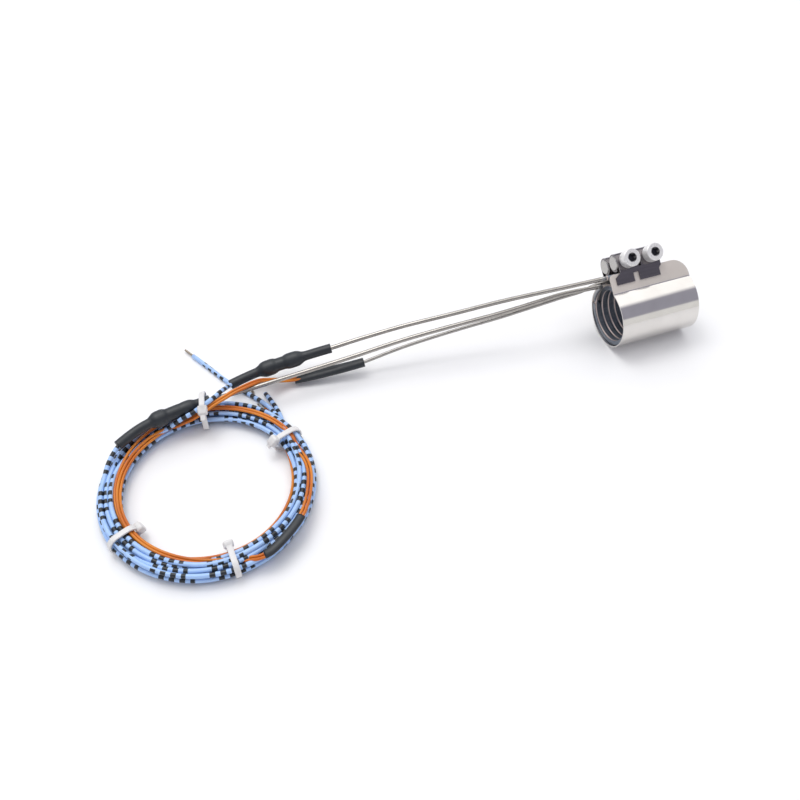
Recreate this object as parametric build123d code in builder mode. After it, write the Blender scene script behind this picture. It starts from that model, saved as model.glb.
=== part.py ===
"""Clamp-on coil heater with a reflector sleeve, a sheathed temperature probe and tied-up leads.

Millimetres. X is the bore axis and points away from the leads, Y points to the back of the sleeve,
Z is up. The origin is the centre of the bore. Sleeve, ties and leads lie on one flat surface.
"""
import math
import os

from build123d import *

os.makedirs("parts", exist_ok=True)

# Heater coil: a flattened tube wound on the nozzle, both ends drawn out round
coil_bore = 25.0
coil_section_width = 3.2
coil_section_thickness = 2.0
coil_turn_gap = 0.2
bore_skim = 0.3
coil_turns = 10.73
coil_start_angle = 192.0
leg_diameter = 2.1

# Reflector sleeve: one bent sheet, open at the top back, with an ear on each side of the opening
sheet = 0.5
coil_clearance = 0.2
near_inset = 0.3
far_inset = 1.0
front_ear_inset = 2.75
rear_ear_face = -4.35
ear_rise = 3.0
front_ear_round = 8.0
small_round = 2.0

# Clamp: a looped strap with a round bar on each ear, drawn together by two socket screws
clamp_lean = 50.0
strap = 0.6
strap_near_end = -14.5
strap_far_end = 7.0
strap_slot_near = -4.4
strap_slot_far = -3.2
slot_root_above_ear = 1.2
waist_below_ear = 1.2
foot_below_ear = 5.4
near_foot_left = -17.6
near_foot_right = -8.2
far_foot_left = -5.3
far_foot_right = 5.6
rear_foot_below_ear = 2.8
bar_diameter = 7.3
bar_fit = 0.05
bar_overhang = 0.4
loop_above_ear = 1.15
loop_sweep = 290.0
screw_near = -9.3
screw_far = 3.0
screw_diameter = 5.0
screw_length = 20.0
screw_head_diameter = 8.5
screw_head_height = 5.0
screw_head_gap = 0.05
hex_across_flats = 4.0
hex_depth = 2.6
head_chamfer = 0.35
screw_clearance = 0.3
thread_clearance = 0.1
strap_hole_clearance = 0.6

# Probe, splices, shrink sleeves and leads
probe_diameter = 1.7
probe_tip_angle = 136.0
splice_diameter = 3.0
splice_length = 14.0
shrink_diameter = 4.6
lump_diameter = 7.6
small_lump_diameter = 5.8
splice_sleeve_diameter = 6.4
lump_length = 6.4
probe_shrink_width = 4.9
probe_shrink_height = 3.8
probe_shrink_mouth_width = 6.4
probe_shrink_mouth_height = 3.0
lead_diameter = 2.1
lead_core_diameter = 1.0
core_length = 6.0
sensor_lead_diameter = 1.3
sensor_lead_pitch = 1.45
marker_diameter = 3.9

# Tied ring of leads
ring_x = -224.0
ring_y = -24.0
ring_radius = 40.6
ring_width = 12.4
ring_height = 7.5
ring_corner = 3.7
tie_width = 2.6
tie_thickness = 0.9
tie_fit = 0.1
tie_head_width = 4.6
tie_head_height = 3.0
tie_head_length = 4.6
top_tie_width = 14.6
top_tie_height = 14.3

# Worked out from the sizes above
coil_inner = coil_bore / 2
coil_middle = coil_inner + coil_section_thickness / 2
coil_outer = coil_inner + coil_section_thickness
sleeve_inner = coil_outer + coil_clearance
sleeve_outer = sleeve_inner + sheet
floor = -sleeve_outer
front_ear_face = sleeve_outer - front_ear_inset
ear_height = sleeve_outer + ear_rise
coil_pitch = coil_section_width + coil_turn_gap
winding_length = coil_pitch * coil_turns
coil_length = winding_length + coil_section_width
sleeve_length = near_inset + coil_length + far_inset
sleeve_near = -sleeve_length / 2
sleeve_far = sleeve_length / 2
coil_start_x = sleeve_near + near_inset + coil_section_width / 2
coil_end_x = coil_start_x + winding_length
coil_end_angle = (coil_start_angle + 360.0 * coil_turns) % 360.0
ring_z = floor + tie_thickness + tie_fit + ring_height / 2
across_clamp = (0, -math.cos(math.radians(clamp_lean)), math.sin(math.radians(clamp_lean)))
up_clamp = (0, math.sin(math.radians(clamp_lean)), math.cos(math.radians(clamp_lean)))
bar_radius = bar_diameter / 2
loop_inner = bar_radius + bar_fit
loop_outer = loop_inner + strap
front_strap_face = front_ear_face + strap
rear_strap_face = rear_ear_face - strap
bar_height = ear_height + loop_above_ear + loop_outer
strap_slot_root = ear_height + slot_root_above_ear
strap_waist = ear_height - waist_below_ear
foot_reach = ear_height - foot_below_ear
rear_foot_reach = ear_height - rear_foot_below_ear
front_bar_place = front_strap_face - loop_outer
rear_bar_place = rear_strap_face + loop_outer


def on_coil(angle, radius, x):
    """A point at an angle over the bore, counted from the front horizontal towards the top."""
    turn = math.radians(angle)
    return (x, -radius * math.cos(turn), radius * math.sin(turn))


def on_clamp(x, across, up):
    """A point given along the bore, along the screws and away from the bore between the ears."""
    y = across * across_clamp[1] + up * up_clamp[1]
    z = across * across_clamp[2] + up * up_clamp[2]
    return (x, y, z)


def clamp_section(x):
    """A plane across the bore: its x runs along the screws, and it extrudes towards the leads."""
    return Plane(origin=(x, 0, 0), x_dir=across_clamp, z_dir=(-1, 0, 0))


def ear_plane(across):
    """A plane flat on an ear: its x runs along the bore and its normal along the screws."""
    return Plane(origin=on_clamp(0, across, 0), x_dir=(1, 0, 0), z_dir=across_clamp)


def bend_radii(points, share=0.45):
    """Arcs as large as the two runs beside each corner allow."""
    radii = []
    for before, corner, after in zip(points, points[1:], points[2:]):
        run_in = Vector(*corner) - Vector(*before)
        run_out = Vector(*after) - Vector(*corner)
        shorter = min(run_in.length, run_out.length)
        half_turn = math.radians(run_in.get_angle(run_out)) / 2
        radii.append(share * shorter / math.tan(half_turn))
    return radii


def tube_solid(points, diameter):
    """A round tube along straight runs joined by tangent arcs."""
    with BuildPart() as tube:
        with BuildLine() as path:
            if len(points) > 2:
                FilletPolyline(*points, radius=bend_radii(points))
            else:
                Line(*points)
        with BuildSketch(Plane(origin=path.line @ 0, z_dir=path.line % 0)):
            Circle(diameter / 2)
        sweep(path=path.line)
    return tube.part


def between(start, end, share):
    """A point part of the way along a straight run."""
    return tuple(a + (b - a) * share for a, b in zip(start, end))


def save(part, label):
    """Name a finished piece and write it to its own file."""
    part.label = label
    export_step(part, f"parts/{label}.step")


def save_cord(points, diameter, label):
    """Make one stretch of lead, print its bends and write it."""
    tube = tube_solid(points, diameter)
    radii = bend_radii(points)
    print(label, "bend radii", [round(radius, 1) for radius in radii])
    save(tube, label)
    return tube


# Routes of the two cold legs and the probe, from the coil to the shrink sleeves
near_leg_route = [
    on_coil(coil_start_angle, coil_middle + 0.1, coil_start_x),
    on_coil(178, coil_middle + 0.1, coil_start_x - 1.2),
    on_coil(161, coil_middle + 0.1, coil_start_x - 1.6),
    on_coil(146, coil_middle + 0.4, coil_start_x - 1.6),
    on_coil(125.4, coil_outer + 0.84, sleeve_near - 0.2),
    (-30.4, 10.1, 12.0),
    (-40.8, 11.6, 11.3),
    (-71.8, 11.9, 8.6),
    (-96.2, 14.5, 5.8),
    (-120.3, 17.1, 2.4),
    (-145.0, 17.6, -0.8),
    (-170.2, 17.6, -2.6),
    (-196.6, 17.0, -3.7),
    (-213.1, 16.8, -3.7),
]
leg_across = front_ear_face - sheet - leg_diameter / 2 - 0.36
far_leg_route = [
    on_coil(coil_end_angle, coil_middle, coil_end_x),
    on_coil(113.9, coil_outer + 2.56, coil_end_x - 0.3),
    on_clamp(6.0, leg_across - 2.15, ear_height - 1.75),
    on_clamp(-13.9, leg_across, ear_height - 0.74),
    (-23.4, 8.2, 18.0),
    (-41.6, 11.3, 15.6),
    (-70.3, 16.1, 12.2),
    (-94.5, 19.0, 9.0),
    (-118.2, 22.8, 5.6),
    (-142.4, 25.2, 1.6),
    (-152.6, 26.3, -0.6),
]
shrink_a_route = [
    (-152.6, 26.3, -0.6),
    (-166.4, 28.2, -3.2),
    (-189.7, 29.8, -7.4),
    (-201.8, 27.7, -9.2),
]
shrink_b_route = [
    (-213.1, 16.8, -3.7),
    (-220.2, 16.3, -3.5),
    (-239.2, 12.4, -2.8),
    (-248.6, 9.3, -3.3),
    (-256.1, 5.2, -4.4),
]
probe_tip_radius = coil_outer + probe_diameter / 2 + 0.05
probe_route = [
    on_coil(probe_tip_angle, probe_tip_radius, -4.0),
    on_coil(probe_tip_angle, probe_tip_radius, -12.0),
    on_coil(136.9, probe_tip_radius + 1.44, sleeve_near - 0.1),
    (-29.9, 11.6, 9.4),
    (-40.1, 12.2, 8.4),
    (-71.1, 12.8, 5.0),
    (-95.3, 16.0, 0.8),
    (-119.7, 18.6, -4.0),
    (-138.7, 19.6, -8.6),
]
shrink_c_route = [
    (-138.7, 19.6, -8.6),
    (-155.2, 21.1, -10.8),
    (-171.9, 24.2, -12.5),
]

# Routes of the leads outside the ring
lead_a_route = [
    (-201.8, 27.7, -9.2),
    (-204.3, 22.7, -5.0),
    (-207.4, 18.3, -1.7),
    (-210.8, 15.4, -1.2),
    (-214.0, 13.4, -0.9),
    (-216.6, 12.4, -1.2),
    (-219.5, 11.4, -1.9),
    (-223.0, 10.5, -2.8),
    (-227.3, 10.7, -4.4),
    (-231.9, 10.6, -7.1),
    (-236.1, 10.8, -9.2),
]
lead_b_route = [
    (-256.1, 5.2, -4.4),
    (-262.0, -1.4, -6.6),
    (-265.4, -9.0, -9.2),
]
pair_route = [
    (-171.9, 23.2, -12.4),
    (-182.9, 22.8, -8.0),
    (-187.7, 21.1, -4.4),
    (-191.3, 18.9, -2.1),
    (-194.9, 17.4, -1.2),
    (-198.2, 16.9, -1.5),
    (-202.1, 16.2, -1.8),
    (-206.2, 14.5, -1.9),
    (-210.7, 13.2, -2.3),
    (-214.2, 12.0, -2.8),
    (-217.2, 10.9, -3.4),
    (-220.7, 10.4, -4.8),
    (-223.6, 10.3, -5.8),
    (-227.4, 10.8, -7.2),
    (-230.8, 11.6, -9.2),
]
bow_route = [
    (-182.6, -18.0, -9.6),
    (-180.3, -32.0, -6.6),
    (-184.8, -46.8, -5.4),
    (-190.8, -56.6, -5.4),
    (-200.6, -64.6, -5.4),
    (-209.9, -69.4, -6.6),
    (-217.0, -66.0, -9.4),
]
lead_a_end_route = [
    (-187.8, -8.3, -7.8),
    (-192.0, 6.6, -9.8),
    (-197.6, 22.2, -13.4),
    (-200.5, 32.4, -14.0),
    (-207.2, 43.7, -14.0),
    (-214.2, 56.9, -14.0),
]
lead_b_end_route = [
    (-187.8, -3.6, -12.4),
    (-190.4, 10.6, -13.2),
    (-192.4, 23.4, -14.0),
]
tie_angles = {"cable_tie_1": 79.0, "cable_tie_2": 18.0, "cable_tie_3": -158.0, "cable_tie_4": -87.0}

# Heater coil with its two cold legs
near_leg_end = between(shrink_b_route[1], shrink_b_route[2], 0.36)
far_leg_end = between(shrink_a_route[1], shrink_a_route[2], 0.36)
with BuildPart() as heater_coil:
    with BuildLine() as winding:
        helix = Helix(
            coil_pitch,
            winding_length,
            coil_middle,
            center=(coil_start_x, 0, 0),
            direction=(1, 0, 0),
            lefthand=True,
            mode=Mode.PRIVATE,
        )
        add(helix.rotate(Axis.X, 90.0 - coil_start_angle))
    with BuildSketch(Plane(winding.line @ 0, x_dir=(1, 0, 0), z_dir=winding.line % 0)):
        Rectangle(coil_section_width, coil_section_thickness + 2 * bore_skim)
    sweep(path=winding.line, is_frenet=True)
    with BuildSketch(Plane(origin=(sleeve_near - coil_bore, 0, 0), z_dir=(1, 0, 0))):
        Circle(coil_inner)
    extrude(amount=sleeve_length + 2 * coil_bore, mode=Mode.SUBTRACT)
    with BuildSketch(Plane(origin=(sleeve_near - coil_bore, 0, 0), z_dir=(1, 0, 0))):
        Circle(coil_outer)
    extrude(amount=sleeve_length + 2 * coil_bore, mode=Mode.INTERSECT)
    for leg_route, leg_end, shrink_turn in (
        (near_leg_route, near_leg_end, shrink_b_route[1]),
        (far_leg_route, far_leg_end, shrink_a_route[1]),
    ):
        leg_points = leg_route + [shrink_turn, leg_end]
        with BuildLine() as leg_path:
            FilletPolyline(*leg_points, radius=bend_radii(leg_points))
        with BuildSketch(Plane(origin=leg_path.line @ 0, z_dir=leg_path.line % 0)):
            Circle(leg_diameter / 2)
        sweep(path=leg_path.line)
save(heater_coil.part, "heater_coil")

# Reflector sleeve with its ears
with BuildPart() as reflector_sleeve:
    with BuildSketch(clamp_section(sleeve_far)) as sheet_profile:
        with BuildLine():
            front_inside = front_ear_face - sheet
            rear_inside = rear_ear_face + sheet
            front_root = (front_ear_face, math.sqrt(sleeve_outer**2 - front_ear_face**2))
            front_root_inside = (front_inside, math.sqrt(sleeve_inner**2 - front_inside**2))
            rear_root = (rear_ear_face, math.sqrt(sleeve_outer**2 - rear_ear_face**2))
            rear_root_inside = (rear_inside, math.sqrt(sleeve_inner**2 - rear_inside**2))
            Line((front_ear_face, ear_height), front_root)
            ThreePointArc(front_root, (0, -sleeve_outer), rear_root)
            Line(rear_root, (rear_ear_face, ear_height))
            Line((rear_ear_face, ear_height), (rear_inside, ear_height))
            Line((rear_inside, ear_height), rear_root_inside)
            ThreePointArc(rear_root_inside, (0, -sleeve_inner), front_root_inside)
            Line(front_root_inside, (front_inside, ear_height))
            Line((front_inside, ear_height), (front_ear_face, ear_height))
        make_face()
    extrude(amount=sleeve_length)
    ear_corners = reflector_sleeve.edges().filter_by(Axis((0, 0, 0), across_clamp))
    far_corners = ear_corners.group_by(Axis.X)[-1]
    front_ear_wall = ear_height - front_root[1]
    far_round = min(front_ear_round, 0.85 * front_ear_wall)
    fillet(far_corners.sort_by(Axis((0, 0, 0), across_clamp))[-1], far_round)
    ear_corners = reflector_sleeve.edges().filter_by(Axis((0, 0, 0), across_clamp))
    square_corners = ear_corners.filter_by(lambda edge: abs(edge.length - sheet) < sheet / 10)
    near_corners = square_corners.group_by(Axis.X)[0]
    fillet(near_corners, small_round)
save(reflector_sleeve.part, "reflector_sleeve")


def loop_section(bar_place, start_angle, sweep_angle):
    """The end of a strap looped round its bar, as a section across the bore."""
    with BuildSketch() as section:
        with BuildLine():
            outer = CenterArc((bar_place, bar_height), loop_outer, start_angle, sweep_angle)
            inner = CenterArc((bar_place, bar_height), loop_inner, start_angle, sweep_angle)
            Line(outer @ 0, inner @ 0)
            Line(outer @ 1, inner @ 1)
        make_face()
    return section.sketch


tongues = ((strap_near_end, strap_slot_near), (strap_slot_far, strap_far_end))
screw_places = [(screw_near, bar_height), (screw_far, bar_height)]

# Front lug: two feet welded to the ear, two tongues looped round the bar
with BuildPart() as front_lug:
    with BuildSketch(ear_plane(front_ear_face)):
        with BuildLine():
            Polyline(
                (strap_near_end, bar_height),
                (strap_slot_near, bar_height),
                (strap_slot_near, strap_slot_root),
                (strap_slot_far, strap_slot_root),
                (strap_slot_far, bar_height),
                (strap_far_end, bar_height),
                (strap_far_end, strap_waist + 0.6),
                (far_foot_right, strap_waist - 0.8),
                (far_foot_right, foot_reach),
                (far_foot_left, foot_reach),
                (far_foot_left, strap_waist),
                (near_foot_right, strap_waist),
                (near_foot_right, foot_reach),
                (near_foot_left, foot_reach),
                (near_foot_left, strap_waist - 0.8),
                (strap_near_end, strap_waist + 1.4),
                close=True,
            )
        make_face()
    extrude(amount=strap)
    for tongue_near, tongue_far in tongues:
        with BuildSketch(clamp_section(tongue_far)):
            add(loop_section(front_bar_place, 0, loop_sweep))
        extrude(amount=tongue_far - tongue_near)
    with BuildSketch(ear_plane(front_bar_place)):
        with Locations(*screw_places):
            Circle((screw_diameter + strap_hole_clearance) / 2)
    extrude(amount=2 * loop_outer, both=True, mode=Mode.SUBTRACT)
save(front_lug.part, "front_lug")

# Rear lug: the same loops on a plain strap behind the rear ear
with BuildPart() as rear_lug:
    with BuildSketch(ear_plane(rear_ear_face)):
        with BuildLine():
            Polyline(
                (strap_near_end, bar_height),
                (strap_slot_near, bar_height),
                (strap_slot_near, strap_slot_root),
                (strap_slot_far, strap_slot_root),
                (strap_slot_far, bar_height),
                (strap_far_end, bar_height),
                (strap_far_end, rear_foot_reach),
                (strap_near_end, rear_foot_reach),
                close=True,
            )
        make_face()
    extrude(amount=-strap)
    for tongue_near, tongue_far in tongues:
        with BuildSketch(clamp_section(tongue_far)):
            add(loop_section(rear_bar_place, 180, -loop_sweep))
        extrude(amount=tongue_far - tongue_near)
    with BuildSketch(ear_plane(rear_bar_place)):
        with Locations(*screw_places):
            Circle((screw_diameter + strap_hole_clearance) / 2)
    extrude(amount=2 * loop_outer, both=True, mode=Mode.SUBTRACT)
save(rear_lug.part, "rear_lug")


def cross_bar(bar_place, hole_diameter, label):
    """A round bar inside a pair of loops, drilled for the two screws."""
    bar_near = strap_near_end - bar_overhang
    bar_far = strap_far_end + bar_overhang
    with BuildPart() as bar:
        with BuildSketch(clamp_section(bar_far)):
            with Locations((bar_place, bar_height)):
                Circle(bar_radius)
        extrude(amount=bar_far - bar_near)
        chamfer(bar.edges().filter_by(GeomType.CIRCLE), head_chamfer)
        with BuildSketch(ear_plane(bar_place)):
            with Locations(*screw_places):
                Circle(hole_diameter / 2)
        extrude(amount=bar_diameter, both=True, mode=Mode.SUBTRACT)
    save(bar.part, label)


cross_bar(front_bar_place, screw_diameter + screw_clearance, "front_bar")
cross_bar(rear_bar_place, screw_diameter + thread_clearance, "rear_bar")


def clamp_screw(x, label):
    """A socket head cap screw seen along the clamp, its head against the front loop."""
    seat = Plane(
        origin=on_clamp(x, front_strap_face + screw_head_gap, bar_height),
        x_dir=(1, 0, 0),
        z_dir=across_clamp,
    )
    with BuildPart() as screw:
        with BuildSketch(seat):
            Circle(screw_head_diameter / 2)
        extrude(amount=screw_head_height)
        with BuildSketch(seat):
            Circle(screw_diameter / 2)
        extrude(amount=-screw_length)
        round_edges = screw.edges().filter_by(GeomType.CIRCLE)
        ends = round_edges.sort_by(Axis(seat.origin, across_clamp))
        chamfer([ends[0], ends[-1]], head_chamfer)
        with BuildSketch(seat.offset(screw_head_height)):
            RegularPolygon(hex_across_flats / 2, 6, major_radius=False)
        extrude(amount=-hex_depth, mode=Mode.SUBTRACT)
    save(screw.part, label)


clamp_screw(screw_near, "clamp_screw_near")
clamp_screw(screw_far, "clamp_screw_far")

# Probe: a thin sheath that ends on the coil, between the ears
probe_end = between(shrink_c_route[0], shrink_c_route[1], 0.5)
thermocouple_probe = tube_solid(probe_route + [probe_end], probe_diameter)
save(thermocouple_probe, "thermocouple_probe")

# Leads outside the ring
lead_a_start = between(shrink_a_route[1], shrink_a_route[2], 0.64)
lead_b_start = between(shrink_b_route[1], shrink_b_route[2], 0.64)
lead_a_points = [lead_a_start, shrink_a_route[2]] + lead_a_route
lead_b_points = [lead_b_start, shrink_b_route[2]] + lead_b_route
lead_a_run = save_cord(lead_a_points, lead_diameter, "lead_a_run")
lead_b_run = save_cord(lead_b_points, lead_diameter, "lead_b_run")
lead_ends = {"a": lead_a_end_route, "b": lead_b_end_route}
for name, end_route in lead_ends.items():
    save_cord(end_route, lead_diameter, f"lead_{name}_end")
    last_run = Vector(*end_route[-1]) - Vector(*end_route[-2])
    core_tip = Vector(*end_route[-1]) + last_run.normalized() * core_length
    save(tube_solid([end_route[-1], tuple(core_tip)], lead_core_diameter), f"core_{name}")


def beside(route, side, height=0.0):
    """The route of one of two wires that lie side by side, moved sideways on the flat."""
    points = []
    for place, point in enumerate(route):
        before = route[max(place - 1, 0)]
        after = route[min(place + 1, len(route) - 1)]
        along = Vector(after[0] - before[0], after[1] - before[1], 0).normalized()
        x = point[0] - along.Y * side
        y = point[1] + along.X * side
        points.append((x, y, point[2] + height))
    return points


sensor_start = between(shrink_c_route[1], shrink_c_route[2], 0.3)
pair_points = [sensor_start] + pair_route
sensor_runs = []
sensor_bows = []
for number, side in ((1, sensor_lead_pitch / 2), (2, -sensor_lead_pitch / 2)):
    run_points = beside(pair_points, side)
    bow_points = beside(bow_route, side)
    sensor_runs.append(save_cord(run_points, sensor_lead_diameter, f"sensor_lead_{number}_run"))
    sensor_bows.append(save_cord(bow_points, sensor_lead_diameter, f"sensor_lead_{number}_bow"))

# Splices inside the shrink sleeves, from the round leg to the lead
splices = {}
for name, route, wire in (("a", shrink_a_route, lead_a_run), ("b", shrink_b_route, lead_b_run)):
    middle = between(route[1], route[2], 0.5)
    run = (Vector(*route[2]) - Vector(*route[1])).normalized()
    splice_plane = Plane(origin=Vector(*middle) - run * (splice_length / 2), z_dir=run)
    with BuildPart() as splice:
        with BuildSketch(splice_plane):
            Circle(splice_diameter / 2)
        extrude(amount=splice_length)
        add(heater_coil.part, mode=Mode.SUBTRACT)
        add(wire, mode=Mode.SUBTRACT)
    splices[name] = splice.part
    save(splice.part, f"splice_{name}")


def splice_profile(run_start, run_end, lumps):
    """Half of the swelling over a splice, as a face to turn about the straight run."""
    run = Vector(*run_end) - Vector(*run_start)
    (near_share, near_lump), (far_share, far_lump) = lumps
    near = near_share * run.length
    far = far_share * run.length
    reach = lump_length / 2
    tail = shrink_diameter / 2 - 0.4
    waist = splice_sleeve_diameter / 2
    outline = [
        (near - 2 * reach, tail),
        (near - reach, (tail + near_lump / 2) / 2),
        (near, near_lump / 2),
        ((near + far) / 2, waist),
        (far, far_lump / 2),
        (far + reach, (tail + far_lump / 2) / 2),
        (far + 2 * reach, tail),
    ]
    side = run.cross(Vector(0, 0, 1))
    with BuildSketch(Plane(origin=run_start, x_dir=run, z_dir=side)) as half:
        with BuildLine():
            Spline(*outline)
            Polyline(outline[-1], (outline[-1][0], 0), (outline[0][0], 0), outline[0])
        make_face()
    return half.sketch


# Shrink sleeves over the two splices, with two lumps each
lumps_a = ((0.2, lump_diameter), (0.66, lump_diameter))
lumps_b = ((0.2, small_lump_diameter), (0.84, lump_diameter))
for name, route, lumps, wire in (
    ("a", shrink_a_route, lumps_a, lead_a_run),
    ("b", shrink_b_route, lumps_b, lead_b_run),
):
    with BuildPart() as shrink:
        add(tube_solid(route, shrink_diameter))
        add(splice_profile(route[1], route[2], lumps))
        revolve(axis=Axis(route[1], Vector(*route[2]) - Vector(*route[1])))
        add(heater_coil.part, mode=Mode.SUBTRACT)
        add(splices[name], mode=Mode.SUBTRACT)
        add(wire, mode=Mode.SUBTRACT)
    save(shrink.part, f"shrink_{name}")

# Shrink sleeve from the probe to its two wires, flatter and wider towards the wires
shrink_c_sizes = (
    (probe_shrink_width, probe_shrink_height),
    ((probe_shrink_width + probe_shrink_mouth_width) / 2, probe_shrink_height),
    (probe_shrink_mouth_width, probe_shrink_mouth_height),
)
shrink_c_runs = (
    Vector(*shrink_c_route[1]) - Vector(*shrink_c_route[0]),
    Vector(*shrink_c_route[2]) - Vector(*shrink_c_route[0]),
    Vector(*shrink_c_route[2]) - Vector(*shrink_c_route[1]),
)
with BuildPart() as shrink_c:
    for place, run, (width, height) in zip(shrink_c_route, shrink_c_runs, shrink_c_sizes):
        level = Vector(0, 0, 1).cross(run)
        with BuildSketch(Plane(origin=place, x_dir=level, z_dir=run)):
            Ellipse(width / 2, height / 2)
    loft()
    add(thermocouple_probe, mode=Mode.SUBTRACT)
    for wire in sensor_runs:
        add(wire, mode=Mode.SUBTRACT)
save(shrink_c.part, "shrink_c")

# Marker sleeve over the two sensor wires beside the ring
with BuildPart() as marker_sleeve:
    add(tube_solid(bow_route[3:6], marker_diameter))
    for wire in sensor_bows:
        add(wire, mode=Mode.SUBTRACT)
save(marker_sleeve.part, "marker_sleeve")

# Ring of coiled leads, as one closed solid
ring_section = Plane(origin=(ring_x, ring_y, ring_z), x_dir=(1, 0, 0), z_dir=(0, -1, 0))
with BuildPart() as lead_ring:
    with BuildSketch(ring_section):
        with Locations((ring_radius, 0)):
            RectangleRounded(ring_width, ring_height, ring_corner)
    revolve(axis=Axis((ring_x, ring_y, 0), (0, 0, 1)))
save(lead_ring.part, "lead_ring")


def cable_tie(label, width, height, head_across, head_up):
    """A tie round the ring: a thin band that stands on the floor, with a square head."""
    turn = math.radians(tie_angles[label])
    radial = (math.cos(turn), math.sin(turn), 0)
    centre_z = floor + tie_thickness + tie_fit + height / 2
    middle = (ring_x + ring_radius * radial[0], ring_y + ring_radius * radial[1], centre_z)
    section = Plane(origin=middle, x_dir=radial, z_dir=(radial[1], -radial[0], 0))
    around = tie_fit + tie_thickness
    with BuildPart() as tie:
        with BuildSketch(section):
            RectangleRounded(width + 2 * around, height + 2 * around, ring_corner + around)
        extrude(amount=tie_width / 2, both=True)
        with BuildSketch(section):
            with Locations((head_across, head_up)):
                Rectangle(tie_head_width, tie_head_height)
        extrude(amount=tie_head_length / 2, both=True)
        with BuildSketch(section):
            RectangleRounded(width + 2 * tie_fit, height + 2 * tie_fit, ring_corner + tie_fit)
        extrude(amount=tie_head_length, both=True, mode=Mode.SUBTRACT)
    save(tie.part, label)


side_head = -ring_width / 2 - 1.4
top_head = top_tie_height / 2
cable_tie("cable_tie_1", top_tie_width, top_tie_height, -3.0, top_head)
for label in ("cable_tie_2", "cable_tie_3", "cable_tie_4"):
    cable_tie(label, ring_width, ring_height, side_head, 0.8)
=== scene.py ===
"""A coil heater with its reflector sleeve, probe, shrink sleeves and tied leads, in real finishes.

Blender works in metres. Places and sizes given here are in millimetres, times MM.
"""
import math

import bmesh
import bpy
import numpy as np
from mathutils import Matrix, Vector


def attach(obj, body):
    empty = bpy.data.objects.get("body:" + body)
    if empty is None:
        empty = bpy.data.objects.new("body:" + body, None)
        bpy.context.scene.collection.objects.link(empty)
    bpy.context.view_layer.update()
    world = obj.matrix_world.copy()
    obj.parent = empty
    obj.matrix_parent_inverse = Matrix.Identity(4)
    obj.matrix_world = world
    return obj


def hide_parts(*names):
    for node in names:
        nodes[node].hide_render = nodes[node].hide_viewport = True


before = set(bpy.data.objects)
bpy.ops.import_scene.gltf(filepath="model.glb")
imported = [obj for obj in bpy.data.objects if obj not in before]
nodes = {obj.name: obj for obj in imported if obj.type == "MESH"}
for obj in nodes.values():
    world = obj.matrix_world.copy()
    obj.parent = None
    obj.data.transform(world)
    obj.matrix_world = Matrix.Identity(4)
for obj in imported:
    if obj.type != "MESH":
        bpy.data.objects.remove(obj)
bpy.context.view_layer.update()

MM = 0.001
scene = bpy.context.scene

# Camera, set up as the photograph was taken
camera_place = (-224.1, -264.8, 306.3)
camera_azimuth = math.radians(-20.03)
camera_elevation = math.radians(49.12)
camera_data = bpy.data.cameras.new("photo_camera")
camera_data.sensor_width = 36.0
camera_data.lens = 40.8
camera_data.clip_start = 0.01
camera = bpy.data.objects.new("photo_camera", camera_data)
camera.location = Vector(camera_place) * MM
looking = Vector((
    -math.sin(camera_azimuth) * math.cos(camera_elevation),
    math.cos(camera_azimuth) * math.cos(camera_elevation),
    -math.sin(camera_elevation),
))
camera.rotation_euler = looking.to_track_quat("-Z", "Y").to_euler()
scene.collection.objects.link(camera)
scene.camera = camera

# Sizes that the cords and sleeves share with the part
table_height = -15.2
ring_centre = (-224.0, -24.0)
ring_radius = 40.6
lead_radius = 1.05
sensor_radius = 0.65
sensor_pitch = 1.45

# Routes outside the ring, from the sleeves to the ring and from the ring to the bare ends
shrink_a_route = [
    (-152.6, 26.3, -0.6),
    (-166.4, 28.2, -3.2),
    (-189.7, 29.8, -7.4),
    (-201.8, 27.7, -9.2),
]
shrink_b_route = [
    (-213.1, 16.8, -3.7),
    (-220.2, 16.3, -3.5),
    (-239.2, 12.4, -2.8),
    (-248.6, 9.3, -3.3),
    (-256.1, 5.2, -4.4),
]
shrink_c_route = [
    (-138.7, 19.6, -8.6),
    (-155.2, 21.1, -10.8),
    (-171.9, 24.2, -12.5),
]
lead_a_route = [
    (-201.8, 27.7, -9.2),
    (-204.3, 22.7, -5.0),
    (-207.4, 18.3, -1.7),
    (-210.8, 15.4, -1.2),
    (-214.0, 13.4, -0.9),
    (-216.6, 12.4, -1.2),
    (-219.5, 11.4, -1.9),
    (-223.0, 10.5, -2.8),
    (-227.3, 10.7, -4.4),
    (-231.9, 10.6, -7.1),
    (-236.1, 10.8, -9.2),
]
lead_b_route = [
    (-256.1, 5.2, -4.4),
    (-262.0, -1.4, -6.6),
    (-265.4, -9.0, -9.2),
]
pair_route = [
    (-171.9, 23.2, -12.4),
    (-182.9, 22.8, -8.0),
    (-187.7, 21.1, -4.4),
    (-191.3, 18.9, -2.1),
    (-194.9, 17.4, -1.2),
    (-198.2, 16.9, -1.5),
    (-202.1, 16.2, -1.8),
    (-206.2, 14.5, -1.9),
    (-210.7, 13.2, -2.3),
    (-214.2, 12.0, -2.8),
    (-217.2, 10.9, -3.4),
    (-220.7, 10.4, -4.8),
    (-223.6, 10.3, -5.8),
    (-227.4, 10.8, -7.2),
    (-230.8, 11.6, -9.2),
]
bow_route = [
    (-182.6, -18.0, -9.6),
    (-180.3, -32.0, -6.6),
    (-184.8, -46.8, -5.4),
    (-190.8, -56.6, -5.4),
    (-200.6, -64.6, -5.4),
    (-209.9, -69.4, -6.6),
    (-217.0, -66.0, -9.4),
]
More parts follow.
